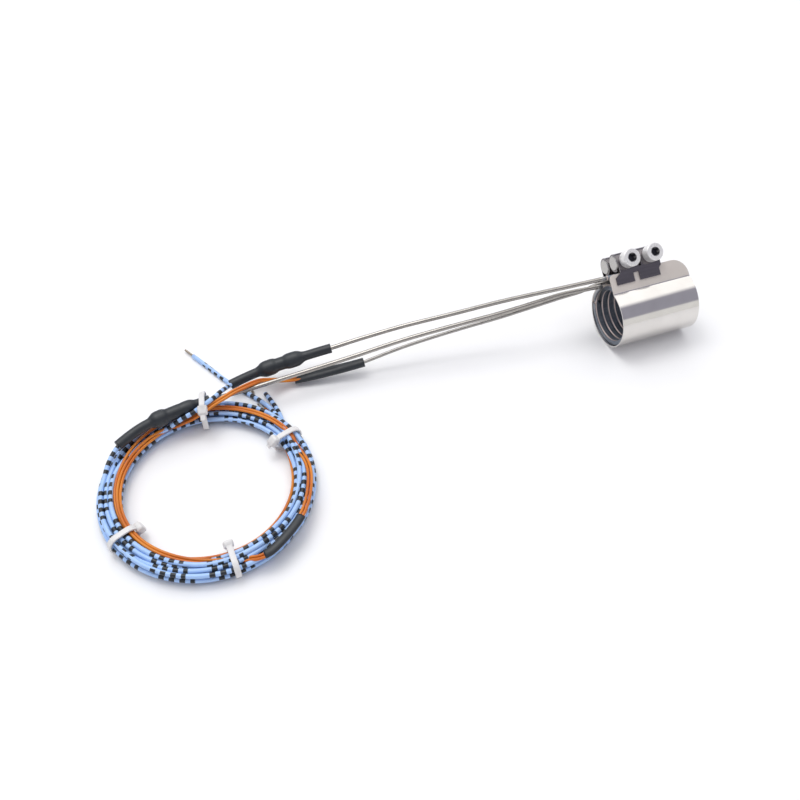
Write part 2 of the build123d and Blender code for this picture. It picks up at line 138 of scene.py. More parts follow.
lead_a_end_route = [
    (-185.6, -6.3, -8.4),
    (-186.0, 4.6, -11.2),
    (-189.2, 15.6, -13.6),
    (-197.0, 27.0, -14.1),
    (-203.4, 36.2, -14.1),
    (-208.4, 46.4, -14.1),
    (-214.2, 56.9, -14.0),
]
lead_b_end_route = [
    (-184.6, -1.6, -12.4),
    (-184.0, 9.4, -13.6),
    (-187.2, 21.2, -14.1),
]
sensor_end_route = [
    (-188.9, -0.4, -12.4),
    (-188.4, 6.6, -13.6),
    (-190.2, 12.4, -14.4),
]
tie_angles = {"cable_tie_1": 79.0, "cable_tie_2": 18.0, "cable_tie_3": -158.0, "cable_tie_4": -87.0}


def between(start, end, share):
    """A point part of the way from one point to the next."""
    return tuple(a + (b - a) * share for a, b in zip(start, end))


def beside(route, side):
    """One of two wires that lie side by side along a route."""
    shifted = []
    for place, point in enumerate(route):
        before = route[max(place - 1, 0)]
        after = route[min(place + 1, len(route) - 1)]
        along = Vector((after[0] - before[0], after[1] - before[1], 0)).normalized()
        shifted.append((point[0] - along.y * side, point[1] + along.x * side, point[2]))
    return shifted


def smooth_line(name, places):
    """The points of a smooth NURBS line whose control points are the route's places."""
    curve = bpy.data.curves.new(name, "CURVE")
    curve.dimensions = "3D"
    curve.resolution_u = 7
    spline = curve.splines.new("NURBS")
    spline.points.add(len(places) - 1)
    for control, place in zip(spline.points, places):
        control.co = (place[0] * MM, place[1] * MM, place[2] * MM, 1.0)
    spline.order_u = 3
    spline.use_endpoint_u = True
    holder = bpy.data.objects.new(name, curve)
    mesh = bpy.data.meshes.new_from_object(holder)
    line = [vertex.co.copy() for vertex in mesh.vertices]
    bpy.data.objects.remove(holder)
    bpy.data.curves.remove(curve)
    bpy.data.meshes.remove(mesh)
    return line


# Winding of the leads in the ring, one slice of the ring every fifteen degrees
slice_step = 15.0
slices_per_turn = 24
chord_gain = 1.0086
ring_half_width = 6.15
ring_half_height = 3.75
ring_middle_height = 4.75


def on_ring(angle, across, up):
    """A place in the ring: across it from its middle circle, and up from the table."""
    turn = math.radians(angle)
    radius = (ring_radius + across) * chord_gain
    x = ring_centre[0] + radius * math.cos(turn)
    y = ring_centre[1] + radius * math.sin(turn)
    return (x, y, table_height + up)


def ring_place(point):
    """The angle, the distance across the ring and the height of a point by the ring."""
    x = point[0] - ring_centre[0]
    y = point[1] - ring_centre[1]
    return math.degrees(math.atan2(y, x)) % 360, math.hypot(x, y) - ring_radius, point[2] - table_height


class Winding:
    """One stretch of a lead in the ring, from the point where it joins to the point where it leaves."""

    def __init__(self, joins, leaves, turns, radius, homes, wander):
        start_angle, start_across, start_up = ring_place(joins)
        end_angle, end_across, end_up = ring_place(leaves)
        end_angle += 360.0 * turns
        first = math.floor(start_angle / slice_step) + 1
        last = math.ceil(end_angle / slice_step) - 1
        self.radius = radius
        self.slices = list(range(first, last + 1))
        self.ends = ((start_across, start_up), (end_across, end_up))
        self.home = []
        for number in self.slices:
            share = (number * slice_step - start_angle) / 360.0
            turn = min(int(share), len(homes) - 2)
            blend = share - turn
            blend = blend * blend * (3 - 2 * blend)
            across = homes[turn][0] * (1 - blend) + homes[turn + 1][0] * blend
            up = homes[turn][1] * (1 - blend) + homes[turn + 1][1] * blend
            across += 0.5 * math.sin(share * 5.3 + wander)
            up += 0.35 * math.sin(share * 7.9 + 2.0 * wander)
            self.home.append((across, up))
        self.place = np.array(self.home)


def tie_grip(number):
    """How close a slice of the ring is to one of the three tight ties, from 0 to 1."""
    angle = number * slice_step
    grip = 0.0
    for name in ("cable_tie_2", "cable_tie_3", "cable_tie_4"):
        apart = abs((angle - tie_angles[name] + 180.0) % 360.0 - 180.0)
        grip = max(grip, 1.0 - apart / 40.0)
    return max(grip, 0.0)


def settle(windings, rounds=420):
    """Let all strands find room beside each other in every slice, smooth along their length."""
    for step in range(rounds):
        late = step > rounds * 0.85
        for winding in windings:
            place = winding.place
            around = np.vstack([winding.ends[0], place, winding.ends[1]])
            pull = 0.30 if not late else 0.08
            place += pull * (0.5 * (around[:-2] + around[2:]) - place)
            if not late:
                place += 0.035 * (np.array(winding.home) - place)
        for number in range(slices_per_turn):
            members = []
            for winding in windings:
                for index, own in enumerate(winding.slices):
                    if own % slices_per_turn == number:
                        members.append((winding, index))
            points = np.array([winding.place[index] for winding, index in members])
            radii = np.array([winding.radius for winding, index in members])
            gap = points[:, None, :] - points[None, :, :]
            distance = np.sqrt((gap ** 2).sum(axis=2)) + 1e-6
            short = np.maximum(radii[:, None] + radii[None, :] + 0.02 - distance, 0.0)
            np.fill_diagonal(short, 0.0)
            points += 0.5 * ((short / distance)[:, :, None] * gap).sum(axis=1)
            grip = tie_grip(number)
            half_width = ring_half_width - 0.2 * (1.0 - grip) - radii
            half_height = ring_half_height + 0.2 * (1.0 - grip) - radii
            middle = ring_middle_height - 0.5 * (1.0 - grip)
            reach = (np.abs(points[:, 0]) / half_width) ** 3
            reach += (np.abs(points[:, 1] - middle) / half_height) ** 3
            scale = 1.0 / np.maximum(reach, 1.0) ** (1.0 / 3.0)
            points[:, 0] *= scale
            points[:, 1] = middle + (points[:, 1] - middle) * scale
            for (winding, index), point in zip(members, points):
                winding.place[index] = point


def wound_points(winding):
    """The winding's control points in millimetres."""
    points = []
    for number, (across, up) in zip(winding.slices, winding.place):
        points.append(on_ring(number * slice_step, across, up))
    return points


lead_a_homes = [(-2.2, 7.6), (2.6, 6.4), (-3.6, 3.6), (0.4, 2.0), (4.4, 4.6), (-1.2, 5.0), (-1.0, 7.6)]
lead_b_homes = [(4.2, 6.2), (5.0, 3.4), (2.6, 2.0), (-1.6, 2.0), (1.2, 4.2), (3.4, 3.2), (1.4, 2.8)]
sensor_homes = [(-4.6, 8.0), (-4.8, 6.6)]
sensor_last_homes = [(1.4, 8.0), (-5.4, 3.0), (-5.4, 3.0)]
wind_a = Winding(lead_a_route[-1], lead_a_end_route[0], 6, lead_radius, lead_a_homes, 0.4)
wind_b = Winding(lead_b_route[-1], lead_b_end_route[0], 6, lead_radius, lead_b_homes, 1.9)
sensor_winds = []
sensor_tails = []
for side, wander in ((sensor_pitch / 2, 3.1), (-sensor_pitch / 2, 3.4)):
    join = beside(pair_route, side)[-1]
    bow = beside(bow_route, side)
    stacked = [(across - 0.5 * side, up + 0.9 * side) for across, up in sensor_homes]
    sensor_winds.append(Winding(join, bow[-1], 0, sensor_radius, stacked, wander))
    stacked = [(across - 0.5 * side, up + 0.9 * side) for across, up in sensor_last_homes]
    tail_end = beside(sensor_end_route, side)[0]
    sensor_tails.append(Winding(bow[0], tail_end, 1, sensor_radius, stacked, wander))
settle([wind_a, wind_b] + sensor_winds + sensor_tails)

lead_a_inside = between(shrink_a_route[1], shrink_a_route[2], 0.64)
lead_b_inside = between(shrink_b_route[1], shrink_b_route[2], 0.64)
sensor_inside = between(shrink_c_route[1], shrink_c_route[2], 0.3)
lead_a_places = [lead_a_inside, shrink_a_route[2]] + lead_a_route
lead_a_places += wound_points(wind_a) + lead_a_end_route
lead_b_places = [lead_b_inside, shrink_b_route[2], shrink_b_route[3]] + lead_b_route
lead_b_places += wound_points(wind_b) + lead_b_end_route
sensor_places = []
for number, side in enumerate((sensor_pitch / 2, -sensor_pitch / 2)):
    places = beside([sensor_inside] + pair_route, side)
    places += wound_points(sensor_winds[number])
    places += beside(bow_route, side)[::-1]
    places += wound_points(sensor_tails[number])
    places += beside(sensor_end_route, side)
    sensor_places.append(places)


def linear(code):
    """An sRGB hex colour as Blender's linear colour."""
    channels = [int(code[start:start + 2], 16) / 255 for start in (1, 3, 5)]
    return tuple(c / 12.92 if c <= 0.04045 else ((c + 0.055) / 1.055) ** 2.4 for c in channels) + (1.0,)


def add_node(tree, kind, links=None, **settings):
    """Add a node, set its properties or sockets, and join its inputs to other nodes' outputs."""
    made = tree.nodes.new(kind)
    for name, value in settings.items():
        setattr(made, name, value)
    for socket, source in (links or {}).items():
        if isinstance(source, bpy.types.NodeSocket):
            tree.links.new(source, made.inputs[socket])
        else:
            made.inputs[socket].default_value = source
    return made


def new_finish(name, roughness, metallic=0.0, **sockets):
    """A material with its shader set, ready for its colour and surface detail."""
    material = bpy.data.materials.new(name)
    material.use_nodes = True
    shader = material.node_tree.nodes["Principled BSDF"]
    shader.inputs["Roughness"].default_value = roughness
    shader.inputs["Metallic"].default_value = metallic
    for socket, value in sockets.items():
        shader.inputs[socket.replace("_", " ")].default_value = value
    return material, material.node_tree, shader


# Stainless heater tube: drawn bright on the cold legs, blued and dulled by heat where it is wound.
# The rounded edge of each turn that faces the open end gets a thin painted highlight line in its colour,
# over a bump that rounds it.
coil_pitch = 3.4
coil_first_edge = -18.29
coil_first_turn = math.radians(192.0)
legs_end = -23.5
coil_starts = -19.5
heated_tube, tree, shader = new_finish("drawn_stainless_heater_tube", 0.3, 1.0)
position = add_node(tree, "ShaderNodeTexCoord")
axes = add_node(tree, "ShaderNodeSeparateXYZ", {0: position.outputs["Object"]})
place = add_node(tree, "ShaderNodeTexCoord")
drawn = add_node(tree, "ShaderNodeMapping", {0: place.outputs["Object"], 3: (0.15, 1.0, 1.0)})
streaks = add_node(tree, "ShaderNodeTexNoise", {"Vector": drawn.outputs[0], "Scale": 900.0, "Detail": 4.0})
wound = add_node(tree, "ShaderNodeMapRange", {0: axes.outputs["X"], 1: legs_end * MM, 2: coil_starts * MM})
back = add_node(tree, "ShaderNodeMath", {0: axes.outputs["Y"], 1: -1.0}, operation="MULTIPLY")
swing = add_node(tree, "ShaderNodeMath", {0: axes.outputs["Z"], 1: back.outputs[0]}, operation="ARCTAN2")
swing = add_node(tree, "ShaderNodeMath", {0: swing.outputs[0], 1: coil_first_turn}, operation="SUBTRACT")
swing = add_node(tree, "ShaderNodeMath", {0: swing.outputs[0], 1: 2 * math.pi}, operation="DIVIDE")
travel = add_node(
    tree,
    "ShaderNodeMath",
    {0: axes.outputs["X"], 1: coil_first_edge * MM},
    operation="SUBTRACT",
)
travel = add_node(tree, "ShaderNodeMath", {0: travel.outputs[0], 1: coil_pitch * MM}, operation="DIVIDE")
phase = add_node(tree, "ShaderNodeMath", {0: travel.outputs[0], 1: swing.outputs[0]}, operation="SUBTRACT")
phase = add_node(tree, "ShaderNodeMath", {0: phase.outputs[0], 1: 0.5}, operation="ADD")
phase = add_node(tree, "ShaderNodeMath", {0: phase.outputs[0]}, operation="FRACT")
rise = add_node(tree, "ShaderNodeMapRange", {0: phase.outputs[0], 1: 0.0, 2: 0.22})
fall = add_node(tree, "ShaderNodeMapRange", {0: phase.outputs[0], 1: 0.80, 2: 1.0, 3: 1.0, 4: 0.0})
crown = add_node(tree, "ShaderNodeMath", {0: rise.outputs[0], 1: fall.outputs[0]}, operation="MULTIPLY")
# Painted highlight: a thin pale line just past the edge of each wound turn
highlight_starts = add_node(tree, "ShaderNodeMapRange", {0: phase.outputs[0], 1: 0.02, 2: 0.06})
highlight_ends = add_node(tree, "ShaderNodeMapRange", {0: phase.outputs[0], 1: 0.20, 2: 0.26, 3: 1.0, 4: 0.0})
painted_edge_highlight = add_node(
    tree,
    "ShaderNodeMath",
    {0: highlight_starts.outputs[0], 1: highlight_ends.outputs[0]},
    operation="MULTIPLY",
)
bright = add_node(
    tree,
    "ShaderNodeMix",
    {0: streaks.outputs[0], 6: linear("#928E89"), 7: linear("#B0ACA7")},
    data_type="RGBA",
)
blued = add_node(
    tree,
    "ShaderNodeMix",
    {0: streaks.outputs[0], 6: linear("#5E656F"), 7: linear("#848B96")},
    data_type="RGBA",
)
blued_with_painted_highlight = add_node(
    tree,
    "ShaderNodeMix",
    {0: painted_edge_highlight.outputs[0], 6: blued.outputs[2], 7: linear("#C9B9B3")},
    data_type="RGBA",
)
mixed = add_node(
    tree,
    "ShaderNodeMix",
    {0: wound.outputs[0], 6: bright.outputs[2], 7: blued_with_painted_highlight.outputs[2]},
    data_type="RGBA",
)
tree.links.new(mixed.outputs[2], shader.inputs["Base Color"])
dull = add_node(tree, "ShaderNodeMapRange", {0: wound.outputs[0], 1: 0.0, 2: 1.0, 3: 0.26, 4: 0.42})
tree.links.new(dull.outputs[0], shader.inputs["Roughness"])
metal = add_node(tree, "ShaderNodeMapRange", {0: wound.outputs[0], 1: 0.0, 2: 1.0, 3: 1.0, 4: 0.55})
tree.links.new(metal.outputs[0], shader.inputs["Metallic"])
round_edge = add_node(
    tree,
    "ShaderNodeMath",
    {0: crown.outputs[0], 1: wound.outputs[0]},
    operation="MULTIPLY",
)
bump = add_node(tree, "ShaderNodeBump", {"Height": round_edge.outputs[0], "Distance": 0.0005})
tree.links.new(bump.outputs[0], shader.inputs["Normal"])

# Bright-rolled stainless sheet: a near mirror, with faint rolling lines; its bent-up ears are rougher and
# less metallic, and their beige colour is a painted reflection
clamp_up = (0.0, 0.7660, 0.6428)
bend_height = 8.8
ear_height = 9.6
rolled_sheet, tree, shader = new_finish("bright_rolled_stainless_sheet", 0.12, 1.0)
position = add_node(tree, "ShaderNodeTexCoord")
along_ear = add_node(
    tree,
    "ShaderNodeVectorMath",
    {0: position.outputs["Object"], 1: clamp_up},
    operation="DOT_PRODUCT",
)
ear = add_node(
    tree,
    "ShaderNodeMapRange",
    {0: along_ear.outputs["Value"], 1: bend_height * MM, 2: ear_height * MM},
)
place = add_node(tree, "ShaderNodeTexCoord")
drawn = add_node(tree, "ShaderNodeMapping", {0: place.outputs["Object"], 3: (0.06, 1.0, 1.0)})
lines = add_node(tree, "ShaderNodeTexNoise", {"Vector": drawn.outputs[0], "Scale": 1400.0, "Detail": 2.0})
place = add_node(tree, "ShaderNodeTexCoord")
clouds = add_node(
    tree,
    "ShaderNodeTexNoise",
    {"Vector": place.outputs["Object"], "Scale": 90.0, "Detail": 2.0},
)
mirror = add_node(
    tree,
    "ShaderNodeMix",
    {0: clouds.outputs[0], 6: linear("#D2CECA"), 7: linear("#E4E1DD")},
    data_type="RGBA",
)
# Painted reflection: a beige tone on the flat ears in place of what they reflect
painted_ear_reflection = add_node(
    tree,
    "ShaderNodeMix",
    {0: clouds.outputs[0], 6: linear("#CCC4BC"), 7: linear("#DCD4CC")},
    data_type="RGBA",
)
mixed = add_node(
    tree,
    "ShaderNodeMix",
    {0: ear.outputs[0], 6: mirror.outputs[2], 7: painted_ear_reflection.outputs[2]},
    data_type="RGBA",
)
tree.links.new(mixed.outputs[2], shader.inputs["Base Color"])
fine = add_node(tree, "ShaderNodeMapRange", {0: lines.outputs[0], 1: 0.3, 2: 0.7, 3: 0.07, 4: 0.14})
worn = add_node(tree, "ShaderNodeMath", {0: ear.outputs[0], 1: 0.35}, operation="MULTIPLY")
rough = add_node(tree, "ShaderNodeMath", {0: fine.outputs[0], 1: worn.outputs[0]}, operation="ADD")
tree.links.new(rough.outputs[0], shader.inputs["Roughness"])
metal = add_node(tree, "ShaderNodeMapRange", {0: ear.outputs[0], 3: 1.0, 4: 0.3})
tree.links.new(metal.outputs[0], shader.inputs["Metallic"])
bump = add_node(tree, "ShaderNodeBump", {"Height": lines.outputs[0], "Distance": 0.000002})
tree.links.new(bump.outputs[0], shader.inputs["Normal"])

# Stainless strap: cold-formed, a little duller than the sheet
formed_strap, tree, shader = new_finish("cold_formed_stainless_strap", 0.25, 1.0)
place = add_node(tree, "ShaderNodeTexCoord")
drawn = add_node(tree, "ShaderNodeMapping", {0: place.outputs["Object"], 3: (0.1, 1.0, 1.0)})
lines = add_node(tree, "ShaderNodeTexNoise", {"Vector": drawn.outputs[0], "Scale": 1000.0, "Detail": 3.0})
tones = add_node(
    tree,
    "ShaderNodeMix",
    {0: lines.outputs[0], 6: linear("#6B6668"), 7: linear("#848083")},
    data_type="RGBA",
)
tree.links.new(tones.outputs[2], shader.inputs["Base Color"])
stretched = add_node(tree, "ShaderNodeMapRange", {0: lines.outputs[0], 1: 0.3, 2: 0.7, 3: 0.12, 4: 0.2})
tree.links.new(stretched.outputs[0], shader.inputs["Roughness"])
bump = add_node(tree, "ShaderNodeBump", {"Height": lines.outputs[0], "Distance": 0.000006})
tree.links.new(bump.outputs[0], shader.inputs["Normal"])

# Turned and plated steel of the screws and bars: pale, with a satin finish
plated_steel, tree, shader = new_finish("bright_plated_steel", 0.3, 1.0)
place = add_node(tree, "ShaderNodeTexCoord")
lines = add_node(
    tree,
    "ShaderNodeTexNoise",
    {"Vector": place.outputs["Object"], "Scale": 1600.0, "Detail": 3.0},
)
tones = add_node(
    tree,
    "ShaderNodeMix",
    {0: lines.outputs[0], 6: linear("#A5A3A0"), 7: linear("#C4C2BF")},
    data_type="RGBA",
)
tree.links.new(tones.outputs[2], shader.inputs["Base Color"])
stretched = add_node(tree, "ShaderNodeMapRange", {0: lines.outputs[0], 1: 0.3, 2: 0.7, 3: 0.24, 4: 0.38})
tree.links.new(stretched.outputs[0], shader.inputs["Roughness"])
bump = add_node(tree, "ShaderNodeBump", {"Height": lines.outputs[0], "Distance": 0.000006})
tree.links.new(bump.outputs[0], shader.inputs["Normal"])

# Plated screw: the same steel, paler and less metallic so that its colour carries a painted sheen; painted
# shade darkens its socket
screw_places = (-9.3, 3.0)
screw_height = 23.65
socket_half = 2.0
socket_rim = 2.35
plated_screw, tree, shader = new_finish("plated_socket_screw", 0.3, 0.4)
position = add_node(tree, "ShaderNodeTexCoord")
axes = add_node(tree, "ShaderNodeSeparateXYZ", {0: position.outputs["Object"]})
height = add_node(
    tree,
    "ShaderNodeVectorMath",
    {0: position.outputs["Object"], 1: clamp_up},
    operation="DOT_PRODUCT",
)
rise = add_node(
    tree,
    "ShaderNodeMath",
    {0: height.outputs["Value"], 1: screw_height * MM},
    operation="SUBTRACT",
)
rise = add_node(tree, "ShaderNodeMath", {0: rise.outputs[0], 1: 2.0}, operation="POWER")
nearest = add_node(
    tree,
    "ShaderNodeMath",
    {0: axes.outputs["X"], 1: screw_places[0] * MM},
    operation="SUBTRACT",
)
other = add_node(
    tree,
    "ShaderNodeMath",
    {0: axes.outputs["X"], 1: screw_places[1] * MM},
    operation="SUBTRACT",
)
nearest = add_node(tree, "ShaderNodeMath", {0: nearest.outputs[0]}, operation="ABSOLUTE")
other = add_node(tree, "ShaderNodeMath", {0: other.outputs[0]}, operation="ABSOLUTE")
nearest = add_node(
    tree,
    "ShaderNodeMath",
    {0: nearest.outputs[0], 1: other.outputs[0]},
    operation="MINIMUM",
)
nearest = add_node(tree, "ShaderNodeMath", {0: nearest.outputs[0], 1: 2.0}, operation="POWER")
apart = add_node(tree, "ShaderNodeMath", {0: nearest.outputs[0], 1: rise.outputs[0]}, operation="ADD")
apart = add_node(tree, "ShaderNodeMath", {0: apart.outputs[0], 1: 0.5}, operation="POWER")
# Painted shade: a dark disc over each socket recess
socket = add_node(
    tree,
    "ShaderNodeMapRange",
    {0: apart.outputs[0], 1: socket_half * MM, 2: socket_rim * MM, 3: 1.0, 4: 0.0},
)
place = add_node(tree, "ShaderNodeTexCoord")
lines = add_node(
    tree,
    "ShaderNodeTexNoise",
    {"Vector": place.outputs["Object"], "Scale": 1600.0, "Detail": 3.0},
)
# Pale plating colour, partly the steel's own and partly a painted sheen in place of the face's reflection
plating_and_painted_sheen = add_node(
    tree,
    "ShaderNodeMix",
    {0: lines.outputs[0], 6: linear("#DDDBD9"), 7: linear("#F1F0EE")},
    data_type="RGBA",
)
mixed = add_node(
    tree,
    "ShaderNodeMix",
    {0: socket.outputs[0], 6: plating_and_painted_sheen.outputs[2], 7: linear("#2E2D38")},
    data_type="RGBA",
)
tree.links.new(mixed.outputs[2], shader.inputs["Base Color"])
stretched = add_node(tree, "ShaderNodeMapRange", {0: lines.outputs[0], 1: 0.3, 2: 0.7, 3: 0.26, 4: 0.4})
tree.links.new(stretched.outputs[0], shader.inputs["Roughness"])
bump = add_node(tree, "ShaderNodeBump", {"Height": lines.outputs[0], "Distance": 0.000006})
tree.links.new(bump.outputs[0], shader.inputs["Normal"])

# Mineral-insulated probe sheath: drawn stainless with a satin skin
drawn_sheath, tree, shader = new_finish("drawn_stainless_sheath", 0.28, 1.0)
place = add_node(tree, "ShaderNodeTexCoord")
drawn = add_node(tree, "ShaderNodeMapping", {0: place.outputs["Object"], 3: (0.1, 1.0, 1.0)})
streaks = add_node(tree, "ShaderNodeTexNoise", {"Vector": drawn.outputs[0], "Scale": 900.0, "Detail": 3.0})
tones = add_node(
    tree,
    "ShaderNodeMix",
    {0: streaks.outputs[0], 6: linear("#928E8A"), 7: linear("#B0ADA9")},
    data_type="RGBA",
)
tree.links.new(tones.outputs[2], shader.inputs["Base Color"])
stretched = add_node(tree, "ShaderNodeMapRange", {0: streaks.outputs[0], 1: 0.3, 2: 0.7, 3: 0.22, 4: 0.34})
tree.links.new(stretched.outputs[0], shader.inputs["Roughness"])
bump = add_node(tree, "ShaderNodeBump", {"Height": streaks.outputs[0], "Distance": 0.000006})
tree.links.new(bump.outputs[0], shader.inputs["Normal"])

# Nickel-coated copper strands at the bare ends of the leads
nickel_strands, tree, shader = new_finish("nickel_coated_copper_strands", 0.35, 1.0)
place = add_node(tree, "ShaderNodeTexCoord")
drawn = add_node(tree, "ShaderNodeMapping", {0: place.outputs["Object"], 3: (1.0, 0.4, 1.0)})
lay = add_node(tree, "ShaderNodeTexNoise", {"Vector": drawn.outputs[0], "Scale": 2500.0, "Detail": 2.0})
tones = add_node(
    tree,
    "ShaderNodeMix",
    {0: lay.outputs[0], 6: linear("#6E6358"), 7: linear("#BFB2A2")},
    data_type="RGBA",
)
tree.links.new(tones.outputs[2], shader.inputs["Base Color"])
bump = add_node(tree, "ShaderNodeBump", {"Height": lay.outputs[0], "Distance": 0.00005})
tree.links.new(bump.outputs[0], shader.inputs["Normal"])

# Polyolefin shrink sleeve: dark slate, semi-gloss, faintly wrinkled round the lumps
shrink_tube, tree, shader = new_finish("shrunk_polyolefin_sleeve", 0.42, 0.0, Specular_IOR_Level=0.5)
place = add_node(tree, "ShaderNodeTexCoord")
drawn = add_node(tree, "ShaderNodeMapping", {0: place.outputs["Object"], 3: (0.5, 1.0, 1.0)})
wrinkles = add_node(tree, "ShaderNodeTexNoise", {"Vector": drawn.outputs[0], "Scale": 420.0, "Detail": 3.0})
tones = add_node(
    tree,
    "ShaderNodeMix",
    {0: wrinkles.outputs[0], 6: linear("#1C2024"), 7: linear("#2A2F35")},
    data_type="RGBA",
)
tree.links.new(tones.outputs[2], shader.inputs["Base Color"])
stretched = add_node(tree, "ShaderNodeMapRange", {0: wrinkles.outputs[0], 1: 0.3, 2: 0.7, 3: 0.36, 4: 0.5})
tree.links.new(stretched.outputs[0], shader.inputs["Roughness"])
bump = add_node(tree, "ShaderNodeBump", {"Height": wrinkles.outputs[0], "Distance": 0.00006})
tree.links.new(bump.outputs[0], shader.inputs["Normal"])

# The bars on the blue lead: 2.3 mm wide, 4.3 mm apart in fours, then 9 mm plain
mark_period = 24.0
mark_step = 4.3
mark_width = 2.3
marks_length = 15.0


def lead_finish(name, pale, deep, mark):
    """Extruded fluoropolymer insulation, smooth and pale, with printed bars part of the way round."""
    material, tree, shader = new_finish(name, 0.32, 0.0, Specular_IOR_Level=0.45)
    skin = add_node(tree, "ShaderNodeUVMap", uv_map="along_lead")
    axes = add_node(tree, "ShaderNodeSeparateXYZ", {0: skin.outputs[0]})
    along = add_node(tree, "ShaderNodeMath", {0: axes.outputs[0], 1: 1.0}, operation="FRACT")
    length = add_node(tree, "ShaderNodeMath", {0: along.outputs[0], 1: mark_period}, operation="MULTIPLY")
    group = add_node(
        tree,
        "ShaderNodeMapRange",
        {0: length.outputs[0], 1: marks_length, 2: marks_length + 0.4, 3: 1.0, 4: 0.0},
    )
    step = add_node(tree, "ShaderNodeMath", {0: length.outputs[0], 1: mark_step}, operation="DIVIDE")
    step = add_node(tree, "ShaderNodeMath", {0: step.outputs[0]}, operation="FRACT")
    wide = mark_width / mark_step
    rise = add_node(tree, "ShaderNodeMapRange", {0: step.outputs[0], 1: 0.08, 2: 0.12})
    fall = add_node(
        tree,
        "ShaderNodeMapRange",
        {0: step.outputs[0], 1: 0.08 + wide, 2: 0.12 + wide, 3: 1.0, 4: 0.0},
    )
    band = add_node(tree, "ShaderNodeMath", {0: rise.outputs[0], 1: fall.outputs[0]}, operation="MULTIPLY")
    band = add_node(tree, "ShaderNodeMath", {0: band.outputs[0], 1: group.outputs[0]}, operation="MULTIPLY")
    round_wave = add_node(
        tree,
        "ShaderNodeMath",
        {0: axes.outputs[1], 1: 2 * math.pi},
        operation="MULTIPLY",
    )
    twist = add_node(tree, "ShaderNodeMath", {0: axes.outputs[0], 1: 1.7}, operation="MULTIPLY")
    turned = add_node(
        tree,
        "ShaderNodeMath",
        {0: round_wave.outputs[0], 1: twist.outputs[0]},
        operation="ADD",
    )
    facing = add_node(tree, "ShaderNodeMath", {0: turned.outputs[0]}, operation="SINE")
    side = add_node(tree, "ShaderNodeMapRange", {0: facing.outputs[0], 1: -0.9, 2: -0.8})
    printed = add_node(
        tree,
        "ShaderNodeMath",
        {0: band.outputs[0], 1: side.outputs[0]},
        operation="MULTIPLY",
    )
    place = add_node(tree, "ShaderNodeTexCoord")
    cloud = add_node(
        tree,
        "ShaderNodeTexNoise",
        {"Vector": place.outputs["Object"], "Scale": 260.0, "Detail": 2.0},
    )
    skin_colour = add_node(
        tree,
        "ShaderNodeMix",
        {0: cloud.outputs[0], 6: linear(pale), 7: linear(deep)},
        data_type="RGBA",
    )
    mixed = add_node(
        tree,
        "ShaderNodeMix",
        {0: printed.outputs[0], 6: skin_colour.outputs[2], 7: linear(mark)},
        data_type="RGBA",
    )
    tree.links.new(mixed.outputs[2], shader.inputs["Base Color"])
    stretched = add_node(
        tree,
        "ShaderNodeMapRange",
        {0: cloud.outputs[0], 1: 0.3, 2: 0.7, 3: 0.28, 4: 0.36},
    )
    tree.links.new(stretched.outputs[0], shader.inputs["Roughness"])
    return material


blue_lead = lead_finish("printed_fluoropolymer_lead", "#98BCEF", "#B2D1F9", "#1F2329")

# Sensor wire: amber fluoropolymer over a lay of strands that shows as a slow twist
amber_wire, tree, shader = new_finish("amber_fluoropolymer_wire", 0.35, 0.0, Specular_IOR_Level=0.45)
skin = add_node(tree, "ShaderNodeUVMap", uv_map="along_lead")
axes = add_node(tree, "ShaderNodeSeparateXYZ", {0: skin.outputs[0]})
run = add_node(tree, "ShaderNodeMath", {0: axes.outputs[0], 1: 0.7}, operation="MULTIPLY")
whirl = add_node(tree, "ShaderNodeMath", {0: run.outputs[0], 1: axes.outputs[1]}, operation="ADD")
angle = add_node(tree, "ShaderNodeMath", {0: whirl.outputs[0], 1: 2 * math.pi}, operation="MULTIPLY")
wave = add_node(tree, "ShaderNodeMath", {0: angle.outputs[0]}, operation="SINE")
tone = add_node(tree, "ShaderNodeMapRange", {0: wave.outputs[0], 1: -1.0, 2: 1.0})
tones = add_node(
    tree,
    "ShaderNodeMix",
    {0: tone.outputs[0], 6: linear("#C4661A"), 7: linear("#D98324")},
    data_type="RGBA",
)
tree.links.new(tones.outputs[2], shader.inputs["Base Color"])
bump = add_node(tree, "ShaderNodeBump", {"Height": tone.outputs[0], "Distance": 0.00001})
tree.links.new(bump.outputs[0], shader.inputs["Normal"])

# Natural nylon tie: milky white, glossy on its ridges
natural_nylon, tree, shader = new_finish("natural_nylon_tie", 0.35, 0.0, Subsurface_Weight=0.25)
shader.inputs["Subsurface Radius"].default_value = (0.002, 0.002, 0.002)
shader.inputs["Subsurface Scale"].default_value = 1.0
place = add_node(tree, "ShaderNodeTexCoord")
cloud = add_node(
    tree,
    "ShaderNodeTexNoise",
    {"Vector": place.outputs["Object"], "Scale": 500.0, "Detail": 2.0},
)
tones = add_node(
    tree,
    "ShaderNodeMix",
    {0: cloud.outputs[0], 6: linear("#D6D4D2"), 7: linear("#E6E5E4")},
    data_type="RGBA",
)
tree.links.new(tones.outputs[2], shader.inputs["Base Color"])
stretched = add_node(tree, "ShaderNodeMapRange", {0: cloud.outputs[0], 1: 0.3, 2: 0.7, 3: 0.3, 4: 0.42})
tree.links.new(stretched.outputs[0], shader.inputs["Roughness"])
bump = add_node(tree, "ShaderNodeBump", {"Height": cloud.outputs[0], "Distance": 0.00002})
tree.links.new(bump.outputs[0], shader.inputs["Normal"])

